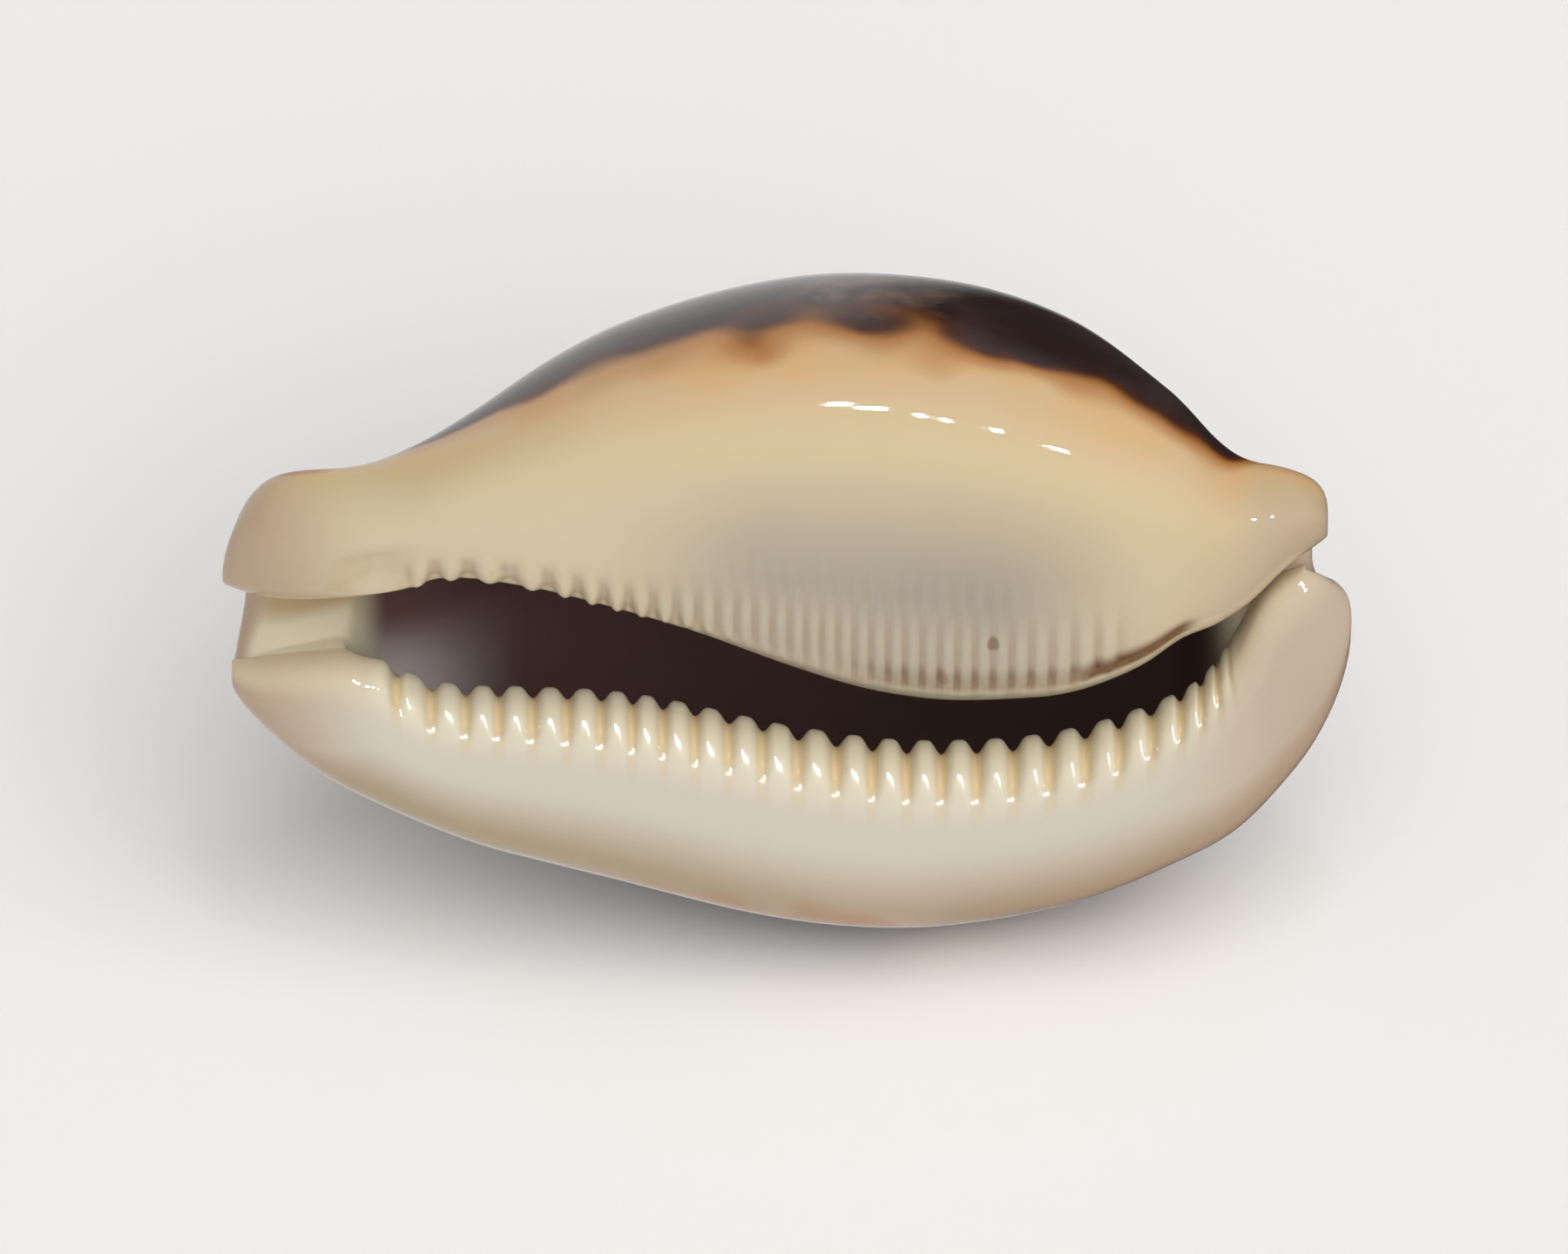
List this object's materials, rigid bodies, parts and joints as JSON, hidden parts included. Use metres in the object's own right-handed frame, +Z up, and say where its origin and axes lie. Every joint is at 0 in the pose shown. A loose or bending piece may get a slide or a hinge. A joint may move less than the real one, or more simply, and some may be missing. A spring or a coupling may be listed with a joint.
{
  "type": "cowrie shell",
  "caption": "Humped, glossy sea snail shell with a long toothed slit between two inrolled lips and a short canal at each end, lying on its side with the slit to the front.",
  "frame": {"origin": "middle of the bounding box at its bottom, on the plane of the small flat ground the shell rests on", "axes": "+X along the shell from the front canal to the rear canal, -Y the side the slit faces, +Z up"},
  "size_m": [0.0648, 0.0326, 0.038],
  "materials": {
    "shell_glaze": "natural porcelain gloss, cream base, dark blotched back"
  },
  "bodies": {
    "root": {"shell": "shell_glaze"}
  },
  "joints": []
}
